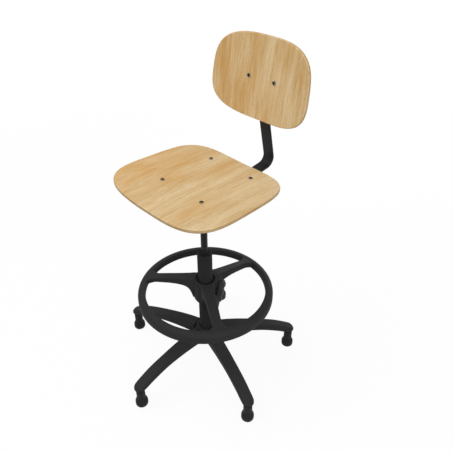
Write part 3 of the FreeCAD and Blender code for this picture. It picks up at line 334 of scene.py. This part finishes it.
def plywood(name, wood, warmth, figure, painted_light_scale, bend):
    """Bent plywood: long grain along the local Y, plies counted outwards from the bend's axis."""
    f = Finish(name)
    mapping = {"Vector": f.place, "Location": bend["axis"], "Rotation": (bend["tilt"], 0.0, 0.0)}
    local = f.node("ShaderNodeMapping", mapping, vector_type="TEXTURE").outputs[0]
    across = f.node("ShaderNodeSeparateXYZ", {0: local}).outputs["X"]
    radius = f.vector("LENGTH", f.vector("MULTIPLY", local, (1.0, 0.0, 1.0)))
    depth = f.math("SUBTRACT", radius, bend["radius"])

    # growth lines: long waves that wander and now and then close into an arch
    sway = f.noise(local, cells("sway"), 1.0)
    waver = f.noise(local, cells("waver"), 2.0)
    phase = f.math("MULTIPLY", across, 1.0 / wood.line_pitch)
    phase = f.math("ADD", phase, f.math("MULTIPLY", sway, SWAY_LINES))
    phase = f.math("ADD", phase, f.math("MULTIPLY", waver, WAVER_LINES))
    lean = f.math("MULTIPLY", f.math("ADD", f.math("MULTIPLY", sway, 4.0), waver), GRAIN_LEAN)
    bent = f.vector("ADD", local, f.node("ShaderNodeCombineXYZ", {"X": lean}).outputs[0])
    saw = f.math("FRACT", phase)
    line = f.math("POWER", saw, 1.8)
    line = f.math("MULTIPLY", line, f.span(saw, 1.0, 0.85))

    # broad warm streaks, more of them towards the sitter's right, then fine fibres and short open pores
    drift = f.noise(bent, cells("drift"), 2.0, 0.55)
    drift = f.math("ADD", f.math("MULTIPLY", drift, 0.8), f.math("MULTIPLY", across, -0.75))
    warm = f.span(drift, 0.36 - warmth, 0.66 - warmth, 0.0, 0.7 + 0.3 * figure)
    patch = f.span(f.noise(bent, cells("patch"), 4.0, 0.62), 0.38, 0.68)
    warm = f.math("MULTIPLY", warm, f.math("ADD", f.math("MULTIPLY", patch, 0.6), 0.4))
    band = f.noise(bent, cells("band"), 1.0, 0.5)
    tone = f.noise(bent, cells("tone"), 2.0, 0.55)
    streak = f.noise(bent, cells("streak"), 2.0, 0.6)
    fibre = f.noise(bent, cells("fibre"), 2.0, 0.6)
    fleck = f.noise(bent, cells("fleck"), 1.0, 0.5)
    dash = f.span(f.noise(bent, cells("pore"), 1.0), 0.62, 0.72)
    pore = f.math("MULTIPLY", dash, f.span(line, 0.05, 0.5, 0.35, 1.0))

    share = f.math("MULTIPLY", line, f.span(tone, 0.30, 0.70, 0.05, 0.60))
    streaks = f.span(streak, 0.48, 0.74, 0.0, 0.98)
    share = f.math("ADD", share, f.math("MULTIPLY", streaks, f.span(band, 0.32, 0.66, 0.35, 1.0)))
    share = f.math("ADD", share, f.span(band, 0.30, 0.70, -0.27, 0.33))
    share = f.math("ADD", share, f.span(tone, 0.32, 0.70, -0.10, 0.12))
    share = f.math("ADD", f.math("MULTIPLY", share, figure), 0.20)
    share = f.math("ADD", share, f.span(fleck, 0.34, 0.68, -0.18, 0.18))
    share = f.math("ADD", share, f.span(fibre, 0.33, 0.72, -0.18, 0.22), clamp=True)
    # painted light: both wood colours are scaled per shell to balance the lamps' light
    light, dark = (tuple(painted_light_scale * part for part in shade) for shade in (wood.light, wood.dark))
    face = f.blend(share, light, dark)
    face = f.blend(warm, face, wood.warm)
    face = f.blend(f.math("MULTIPLY", pore, 0.5), face, wood.cross)

    # every second ply shows end grain where the edge cuts it
    plies_per_metre = wood.plies / (bend["thickness"] + 2 * PLY_MARGIN)
    ply = f.math("MULTIPLY", f.math("ADD", depth, PLY_MARGIN), plies_per_metre)
    odd = f.math("MODULO", f.math("FLOOR", ply), 2.0)
    speck = f.span(f.noise(f.place, (900.0, 900.0, 900.0), 2.0), 0.4, 0.65)
    grain_end = f.blend(f.math("MULTIPLY", speck, 0.35), wood.cross, wood.dark)
    colour = f.blend(f.math("MULTIPLY", odd, 0.75), face, grain_end)

    height = f.math("SUBTRACT", f.math("MULTIPLY", fibre, 0.35), f.math("MULTIPLY", pore, 0.65))
    rough = f.math("ADD", f.math("MULTIPLY", share, 0.10), wood.roughness - 0.03)
    return f.surface({
        "Base Color": colour, "Roughness": rough, "Specular IOR Level": 0.25,
        "Normal": f.bump(height, 0.00006)})


def moulding(name, colour, scuff, roughness, texture=1500.0, depth=0.00003):
    """Moulded plastic: spark-eroded texture, slow changes of sheen and faint grey rubs."""
    f = Finish(name)
    etched = f.noise(f.place, (texture, texture, texture), 2.0, 0.6)
    slow = f.noise(f.place, (14.0, 14.0, 14.0), 3.0, 0.55)
    rubs = f.noise(f.place, (70.0, 70.0, 45.0), 4.0, 0.65)
    rub = f.math("MULTIPLY", f.span(rubs, 0.52, 0.78), f.span(slow, 0.35, 0.7))
    rough = f.math("ADD", f.math("MULTIPLY", slow, 0.14), roughness - 0.07)
    rough = f.math("SUBTRACT", rough, f.math("MULTIPLY", rub, 0.05))
    grain = f.span(f.noise(f.place, (380.0, 380.0, 380.0), 2.0, 0.6), 0.40, 0.66)
    mixed = f.blend(f.math("MULTIPLY", grain, 0.35), colour, scuff)
    return f.surface({
        "Base Color": f.blend(f.math("MULTIPLY", rub, 0.5), mixed, scuff), "Roughness": rough,
        "Specular IOR Level": 0.12, "Normal": f.bump(etched, depth)})


def coated_steel(name, colour, roughness, peel, depth, gloss=0.14, painted_reflection_lines=None):
    """Black coat on steel: a soft orange peel with a fine grain in it, and on the glossy cylinder light
    lines along Z as painted reflections.
    """
    f = Finish(name)
    waves = f.noise(f.place, (peel, peel, peel), 2.0, 0.45)
    grain = f.noise(f.place, (peel * 5.0, peel * 5.0, peel * 5.0), 1.0)
    slow = f.noise(f.place, (11.0, 11.0, 11.0), 3.0)
    height = f.math("ADD", f.math("MULTIPLY", waves, 0.8), f.math("MULTIPLY", grain, 0.2))
    lighter = tuple(1.45 * part for part in colour)
    coat = f.blend(f.span(slow, 0.35, 0.75), colour, lighter)
    # painted reflection: light lines along Z blended into the coat
    if painted_reflection_lines:
        lines = f.noise(f.place, (320.0, 320.0, 2.0), 1.0)
        coat = f.blend(f.span(lines, 0.46, 0.64), coat, painted_reflection_lines)
    return f.surface({
        "Base Color": coat,
        "Roughness": f.span(slow, 0.3, 0.7, roughness - 0.05, roughness + 0.06),
        "Specular IOR Level": gloss, "Normal": f.bump(height, depth)})


def bare_metal(name, colour, roughness, brushing, depth):
    """Plain or plated metal: tool marks along the given stretch and a cloudy tarnish."""
    f = Finish(name)
    marks = f.noise(f.place, brushing, 2.0, 0.6)
    cloud = f.noise(f.place, (160.0, 160.0, 160.0), 3.0, 0.6)
    darker = tuple(0.72 * part for part in colour)
    sheen = f.span(cloud, 0.3, 0.7, roughness, roughness + 0.1)
    return f.surface({
        "Base Color": f.blend(f.span(cloud, 0.4, 0.75), colour, darker), "Metallic": 1.0,
        "Roughness": f.math("ADD", f.span(marks, 0.3, 0.7, -0.05, 0.07), sheen),
        "Normal": f.bump(marks, depth)})


class CHAIR_OT_plywood(bpy.types.Operator):
    """Finish the seat and the backrest as lacquered plywood"""

    bl_idname = "chair.plywood"
    bl_label = "Plywood Shells"

    def execute(self, context):
        wood = context.scene.chair_plywood
        # each shell's lightness is painted light that balances the lamps
        for node, name, warmth, figure, painted_light_scale in (
                ("seat_shell", "seat_plywood", wood.seat_warmth, wood.seat_figure, wood.seat_painted_light),
                ("back_shell", "back_plywood", wood.back_warmth, wood.back_figure, wood.back_painted_light)):
            dress(plywood(name, wood, warmth, figure, painted_light_scale, SHELL_BENDS[node]), node)
        return {"FINISHED"}


def back_frame():
    """Frame of the leaning backrest: X across, Y to the rear, at the middle of its front face."""
    return Matrix.Translation(BACK_MIDDLE) @ Matrix.Rotation(-BACK_LEAN, 4, "X")


class CHAIR_OT_mouldings(bpy.types.Operator):
    """Finish the star base, the foot ring, the glides and the small mouldings"""

    bl_idname = "chair.mouldings"
    bl_label = "Mouldings"

    def execute(self, context):
        black = context.scene.chair_black
        glides = [name for name in NODES if name.startswith("glide_") and name != "glide_stems"]
        dress(moulding("textured_nylon", black.nylon, black.scuff, 0.66), "star_base", "foot_ring")
        dress(moulding("knob_plastic", black.knob, black.scuff, 0.55, 1900.0, 0.00002), "clamp_knob")
        dress(moulding("glide_nylon", black.plastic, black.scuff, 0.60, 1900.0, 0.00002), *glides)
        small = moulding("satin_plastic", black.plastic, black.scuff, 0.60, 2200.0, 0.00002)
        dress(small, "lever_grip", "guide_bush", "ring_liner", "clamp_pad")
        rubber = moulding("matt_rubber", black.rubber, black.scuff, 0.78, 1100.0, 0.00004)
        dress(rubber, "rubber_buffer", "seat_pads")
        return {"FINISHED"}


class CHAIR_OT_steelwork(bpy.types.Operator):
    """Finish the coated and painted steel"""

    bl_idname = "chair.steelwork"
    bl_label = "Steelwork"

    def execute(self, context):
        black = context.scene.chair_black
        powder = coated_steel("powder_coat", black.powder, 0.50, 420.0, 0.00004)
        dress(powder, "back_bar", "cross_plate", "bar_bracket", "seat_plate", "taper_socket")
        dress(powder, "socket_gussets", "lever_ears", "release_lever")
        dress(coated_steel("column_paint", black.paint, 0.55, 260.0, 0.00002, 0.05), "column_tube")
        # the gas cylinder's lacquer carries painted reflection lines
        lacquer = coated_steel("cylinder_paint", black.cylinder, 0.05, 140.0, 0.000001, 0.06, black.painted_reflection_lines)
        dress(lacquer, "gas_cylinder")
        return {"FINISHED"}


class CHAIR_OT_metal(bpy.types.Operator):
    """Finish the screws, bolts, rod, bearing and insert"""

    bl_idname = "chair.metal"
    bl_label = "Bare Metal"

    def execute(self, context):
        metal = context.scene.chair_metal
        zinc = bare_metal("zinc_plate", metal.zinc, 0.22, (1200.0, 1200.0, 1200.0), 0.00001)
        dress(zinc, "seat_nuts", "back_nuts", "bar_bolts", "bar_nuts")
        dress(zinc, "rod_washer", "rod_clip", "lever_pin")
        # dark steel: partly painted shade on the glide stems under the arm tips
        painted_shade_and_blackened = bare_metal("blackened_steel", metal.painted_shade_and_blackened, 0.34, (900.0, 900.0, 900.0), 0.00001)
        dress(painted_shade_and_blackened, "glide_stems", "seat_screws", "back_screws", "clamp_stud")
        ground = bare_metal("ground_steel", metal.ground, 0.14, (60.0, 60.0, 3500.0), 0.000004)
        dress(ground, "piston_rod", "upper_race", "lower_race", "bearing_balls", "release_pin")
        turned = bare_metal("turned_steel", metal.turned, 0.30, (80.0, 80.0, 2400.0), 0.00001)
        dress(turned, "rod_piston", "cylinder_gland", "hub_sleeve", "bearing_cage")
        dress(bare_metal("turned_brass", metal.brass, 0.26, (2000.0, 80.0, 80.0), 0.00001), "clamp_insert")
        return {"FINISHED"}


class CHAIR_OT_screws(bpy.types.Operator):
    """Make the threaded socket screws of the shells and the threaded stud of the clamp"""

    bl_idname = "chair.screws"
    bl_label = "Screws and Stud"

    def execute(self, context):
        sizes = context.scene.chair_screws
        metal = context.scene.chair_metal
        nickel = bare_metal("nickel_plate", metal.nickel, 0.16, (1400.0, 1400.0, 1400.0), 0.000005)
        # the dark steel paints shade into the screw sockets
        painted_shade_and_blackened = NODES["glide_stems"].data.materials[0]
        forward = back_frame() @ Matrix.Rotation(math.pi / 2, 4, "X")
        for node, name, upright in (
                ("seat_screws", "seat_socket_screws", Matrix()),
                ("back_screws", "back_socket_screws", forward)):
            bm = bmesh.new()
            low, high = turned_box(node, upright)
            under = high.z - sizes.head_height
            pattern = socket_screw(sizes, under - low.z)
            rows = {round(low.y + sizes.head, 5), round(high.y - sizes.head, 5)}
            for x in (low.x + sizes.head, high.x - sizes.head):
                for y in sorted(rows):
                    place_copy(bm, pattern, upright @ Matrix.Translation((x, y, under)))
            # the second material paints shade into each socket
            piece = add_piece(context, bm, name, "seat", "zinc_steel", nickel, painted_shade_and_blackened)
            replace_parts(piece, node)
        clamp = next(joint for joint in frame["joints"] if joint["name"] == "knob_turn")
        outwards = Vector(clamp["axis"]).to_track_quat("Z", "Y").to_matrix().to_4x4()
        along = Matrix.Translation(clamp["pos_m"]) @ outwards
        low, high = turned_box("clamp_stud", along)
        bm = bmesh.new()
        spin_thread(bm, sizes.stud, sizes.stud_pitch, sizes.thread_depth, high.z - low.z)
        bmesh.ops.transform(bm, matrix=along @ Matrix.Translation((0.0, 0.0, high.z)), verts=bm.verts)
        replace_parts(add_piece(context, bm, "threaded_stud", "knob", "zinc_steel", painted_shade_and_blackened), "clamp_stud")
        return {"FINISHED"}


def turned_box(node, turn):
    """Lowest and highest corner of a CAD node in a turned frame."""
    back = turn.inverted()
    points = [back @ vertex.co for vertex in NODES[node].data.vertices]
    low = Vector([min(point[axis] for point in points) for axis in range(3)])
    high = Vector([max(point[axis] for point in points) for axis in range(3)])
    return low, high


def outline_edges(bm, outline):
    """A row of edges in the XZ plane from (radius, height) points."""
    verts = [bm.verts.new((radius, 0.0, height)) for radius, height in outline]
    return verts + [bm.edges.new(pair) for pair in zip(verts, verts[1:])]


def socket_screw(sizes, length):
    """Mesh of one screw: the underside of its button head is at 0 and its thread runs down from there."""
    bm = bmesh.new()
    top = sizes.head_height
    curve = sizes.head_round
    outline = [(0.0, 0.0), (sizes.head, 0.0)]
    for step in range(DOME_STEPS + 1):
        angle = math.pi / 2 * step / DOME_STEPS
        out, up = curve * math.cos(angle), curve * math.sin(angle)
        outline.append((sizes.head - curve + out, top - curve + up))
    flat = sizes.socket / 2
    bottom = top - sizes.socket_depth
    outline += [(flat + SOCKET_EDGE, top), (flat, top - SOCKET_EDGE), (flat, bottom)]
    outline.append((0.0, bottom - SOCKET_POINT))
    bmesh.ops.spin(
        bm, geom=outline_edges(bm, outline), axis=(0, 0, 1), cent=(0, 0, 0),
        angle=2 * math.pi, steps=ROUND_STEPS, use_merge=True)
    bmesh.ops.remove_doubles(bm, verts=bm.verts, dist=MERGE)
    # the round hole is drawn out to a hexagon, and its faces take the second material, dark steel that
    # paints shade into the socket
    for vertex in bm.verts:
        if vertex.co.z > 0.0 and vertex.co.xy.length < flat + 1.5 * SOCKET_EDGE:
            turn = math.atan2(vertex.co.y, vertex.co.x) % HEX_TURN
            vertex.co.xy /= math.cos(turn - HEX_TURN / 2)
    for face in bm.faces:
        middle = face.calc_center_median()
        face.material_index = int(middle.z > 0.0 and middle.xy.length < flat * SOCKET_SLACK)
    spin_thread(bm, sizes.shank, sizes.pitch, sizes.thread_depth, length)
    mesh = bpy.data.meshes.new("screw_pattern")
    bm.to_mesh(mesh)
    bm.free()
    return mesh


def spin_thread(bm, radius, pitch, share, length):
    """A threaded shank from 0 down: one tooth carried round a helix, closed at both ends."""
    root = radius - pitch * share
    turns = int(length / pitch) - 1
    tooth = outline_edges(bm, [(root, 0.0), (radius, -pitch / 2), (root, -pitch)])
    made = set(bm.verts)
    bmesh.ops.spin(
        bm, geom=tooth, axis=(0, 0, 1), cent=(0, 0, 0), dvec=(0, 0, -pitch / ROUND_STEPS),
        angle=2 * math.pi * turns, steps=ROUND_STEPS * turns, use_merge=False)
    spun = [vertex for vertex in bm.verts if vertex not in made] + tooth[:3]
    bmesh.ops.remove_doubles(bm, verts=spun, dist=MERGE)
    bmesh.ops.holes_fill(bm, edges=[edge for edge in bm.edges if edge.is_boundary])


def place_copy(bm, pattern, place):
    """Adds a copy of a mesh at a place."""
    copy = pattern.copy()
    copy.transform(place)
    bm.from_mesh(copy)
    bpy.data.meshes.remove(copy)


def add_piece(context, bm, name, body, slot, *materials):
    """Turns a finished bmesh into a piece that rides on a body."""
    bmesh.ops.recalc_face_normals(bm, faces=bm.faces)
    mesh = bpy.data.meshes.new(name)
    bm.to_mesh(mesh)
    bm.free()
    mesh.shade_smooth()
    mesh.set_sharp_from_angle(angle=CREASE)
    for material in materials:
        mesh.materials.append(material)
    piece = bpy.data.objects.new(name, mesh)
    context.scene.collection.objects.link(piece)
    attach(piece, body)
    return piece


class CHAIR_OT_welds(bpy.types.Operator):
    """Lay the weld beads of the seat mechanism and the backrest plate"""

    bl_idname = "chair.welds"
    bl_label = "Weld Beads"

    def execute(self, context):
        sizes = context.scene.chair_welds
        bm = bmesh.new()
        for start, end in weld_lines(sizes.inset):
            lay_bead(bm, start, end, sizes.radius, sizes.ripple)
        add_piece(context, bm, "weld_beads", "seat", "black_steel", NODES["seat_plate"].data.materials[0])
        return {"FINISHED"}


def weld_lines(inset):
    """Start and end of each weld: along the gussets, bracket, ears and the bar behind the backrest."""
    lines = []
    gusset_low, gusset_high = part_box("socket_gussets")
    socket_low, socket_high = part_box("taper_socket")
    socket_r = (socket_high.x - socket_low.x) / 2
    under = gusset_high.z
    reach = gusset_high.x * math.sqrt(2.0) - GUSSET_HALF
    for corner in range(4):
        turn = Matrix.Rotation(math.radians(45.0 + 90.0 * corner), 4, "Z")
        for side in (-GUSSET_HALF, GUSSET_HALF):
            inner, outer = Vector((socket_r + inset, side, under)), Vector((reach - inset, side, under))
            lines.append((turn @ inner, turn @ outer))
            top = Vector((socket_r, side, under - inset))
            foot = Vector((socket_r, side, gusset_low.z + inset))
            lines.append((turn @ top, turn @ foot))
    low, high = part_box("bar_bracket")
    for x in (low.x, high.x):
        lines.append((Vector((x, low.y + inset, under)), Vector((x, high.y - inset, under))))
    low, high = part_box("lever_ears")
    for y in (low.y, high.y):
        lines.append((Vector((low.x + inset, y, under)), Vector((high.x - inset, y, under))))
    lean = back_frame()
    bar_low, bar_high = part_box("back_bar")
    rear = SHELL_BENDS["back_shell"]["thickness"] + CROSS_PLATE
    rise = CROSS_HALF - inset
    for x in (bar_low.x, bar_high.x):
        lines.append((lean @ Vector((x, rear, -rise)), lean @ Vector((x, rear, rise))))
    return lines


def lay_bead(bm, start, end, radius, ripple):
    """One bead: a round face extruded along the joint, swelling and shrinking with each ripple."""
    way = end - start
    steps = max(4, round(way.length / ripple) * 2)
    aim = Matrix.Translation(start) @ way.to_track_quat("Z", "Y").to_matrix().to_4x4()
    width = radius * BEAD_START
    made = bmesh.ops.create_circle(bm, cap_ends=True, segments=BEAD_SIDES, radius=width, matrix=aim)
    face = made["verts"][0].link_faces[0]
    for step in range(1, steps + 1):
        grown = bmesh.ops.extrude_face_region(bm, geom=[face])["geom"]
        new_face = next(part for part in grown if isinstance(part, bmesh.types.BMFace))
        if face.is_valid and step > 1:
            bmesh.ops.delete(bm, geom=[face], context="FACES_ONLY")
        face = new_face
        ripple_width = 1.0 if step % 2 else BEAD_DIP
        wanted = radius * (BEAD_END if step == steps else ripple_width)
        bmesh.ops.translate(bm, verts=face.verts, vec=way / steps)
        centred = Matrix.Translation(-face.calc_center_median())
        bmesh.ops.scale(bm, verts=face.verts, vec=Vector((1, 1, 1)) * (wanted / width), space=centred)
        width = wanted


class CHAIR_OT_studio(bpy.types.Operator):
    """Set up the floor, the lamps, the world and the camera"""

    bl_idname = "chair.studio"
    bl_label = "Studio"

    def execute(self, context):
        scene = context.scene
        studio = scene.chair_studio
        scene.view_settings.view_transform = "Standard"
        lay_floor(scene, studio)
        light_world(scene, studio)
        low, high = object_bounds()
        middle = (low + high) / 2
        for name, lamp in LAMPS.items():
            power = getattr(studio, name)
            hang_lamp(scene, name + "_lamp", power, lamp["size"], lamp["place"], lamp["aim"] or middle)
        data = bpy.data.cameras.new("photo_camera")
        data.sensor_width = SENSOR_WIDTH
        data.lens = studio.lens
        camera = bpy.data.objects.new("photo_camera", data)
        camera.location = studio.camera_place
        camera.rotation_euler = (studio.camera_tilt, 0.0, studio.camera_turn)
        scene.collection.objects.link(camera)
        scene.camera = camera
        return {"FINISHED"}


def lay_floor(scene, studio):
    """A wide pale floor, clear from below; some of its white is its own, so it stays clean."""
    bm = bmesh.new()
    bmesh.ops.create_grid(bm, x_segments=1, y_segments=1, size=FLOOR_HALF)
    mesh = bpy.data.meshes.new("floor")
    bm.to_mesh(mesh)
    bm.free()
    floor = bpy.data.objects.new("floor", mesh)
    scene.collection.objects.link(floor)
    f = Finish("pale_floor")
    seen = seen_directly(f)
    plain = f.node("ShaderNodeBsdfDiffuse", {"Color": f.blend(seen, studio.bounce, studio.floor)})
    glow = f.node("ShaderNodeEmission", {"Color": WHITE, "Strength": 1.0})
    away = f.span(f.vector("LENGTH", f.place), *FLOOR_FADE, studio.glow, 1.0)
    share = f.math("MULTIPLY", seen, away)
    mixed = f.node("ShaderNodeMixShader", {0: share, 1: plain.outputs[0], 2: glow.outputs[0]})
    below = f.node("ShaderNodeNewGeometry").outputs["Backfacing"]
    clear = f.node("ShaderNodeBsdfTransparent")
    sided = f.node("ShaderNodeMixShader", {0: below, 1: mixed.outputs[0], 2: clear.outputs[0]})
    f.node("ShaderNodeOutputMaterial", {"Surface": sided.outputs[0]})
    mesh.materials.append(f.material)
    floor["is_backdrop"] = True


def seen_directly(f):
    """1 for rays from the camera, from gloss and through glass."""
    path = f.node("ShaderNodeLightPath")
    seen = f.math("MAXIMUM", path.outputs["Is Camera Ray"], path.outputs["Is Glossy Ray"])
    return f.math("MAXIMUM", seen, path.outputs["Is Transmission Ray"])


def light_world(scene, studio):
    """Even white light; the camera sees plain white."""
    world = bpy.data.worlds.new("white_room")
    world.use_nodes = True
    tree = world.node_tree
    tree.nodes.clear()
    path = tree.nodes.new("ShaderNodeLightPath")
    strength = tree.nodes.new("ShaderNodeMapRange")
    strength.inputs["To Min"].default_value = studio.world
    strength.inputs["To Max"].default_value = 1.0
    tree.links.new(path.outputs["Is Camera Ray"], strength.inputs["Value"])
    background = tree.nodes.new("ShaderNodeBackground")
    background.inputs["Color"].default_value = WHITE
    tree.links.new(strength.outputs["Result"], background.inputs["Strength"])
    output = tree.nodes.new("ShaderNodeOutputWorld")
    tree.links.new(background.outputs[0], output.inputs["Surface"])
    scene.world = world


def hang_lamp(scene, name, power, size, place, target):
    """A square soft lamp that the camera doesn't see."""
    data = bpy.data.lights.new(name, "AREA")
    data.energy = power
    data.size = size
    lamp = bpy.data.objects.new(name, data)
    lamp.location = place
    lamp.rotation_euler = (target - place).to_track_quat("-Z", "Y").to_euler()
    lamp.visible_camera = False
    scene.collection.objects.link(lamp)


class CHAIR_PT_panel(bpy.types.Panel):
    """Sizes, colours and steps of the bar chair"""

    bl_label = "Swivel Bar Chair"
    bl_idname = "CHAIR_PT_panel"
    bl_space_type = "VIEW_3D"
    bl_region_type = "UI"
    bl_category = "Bar Chair"

    def draw(self, context):
        for operator in OPERATORS:
            self.layout.operator(operator.bl_idname)
        for name, group in GROUPS.items():
            box = self.layout.box()
            box.label(text=group.__doc__)
            settings = getattr(context.scene, name)
            for key in group.__annotations__:
                box.prop(settings, key)


GROUPS = {
    "chair_plywood": PlywoodFinish,
    "chair_black": BlackFinish,
    "chair_metal": MetalFinish,
    "chair_screws": ScrewSizes,
    "chair_welds": WeldSizes,
    "chair_studio": StudioSetup,
}
OPERATORS = (
    CHAIR_OT_plywood, CHAIR_OT_mouldings, CHAIR_OT_steelwork, CHAIR_OT_metal,
    CHAIR_OT_screws, CHAIR_OT_welds, CHAIR_OT_studio)


def register():
    for item in (*GROUPS.values(), *OPERATORS, CHAIR_PT_panel):
        bpy.utils.register_class(item)
    for name, group in GROUPS.items():
        setattr(bpy.types.Scene, name, PointerProperty(type=group))


def unregister():
    for name in GROUPS:
        delattr(bpy.types.Scene, name)
    for item in reversed((*GROUPS.values(), *OPERATORS, CHAIR_PT_panel)):
        bpy.utils.unregister_class(item)


def main():
    register()
    bpy.ops.chair.plywood()
    bpy.ops.chair.mouldings()
    bpy.ops.chair.steelwork()
    bpy.ops.chair.metal()
    bpy.ops.chair.screws()
    bpy.ops.chair.welds()
    bpy.ops.chair.studio()


if __name__ == "__main__":
    main()
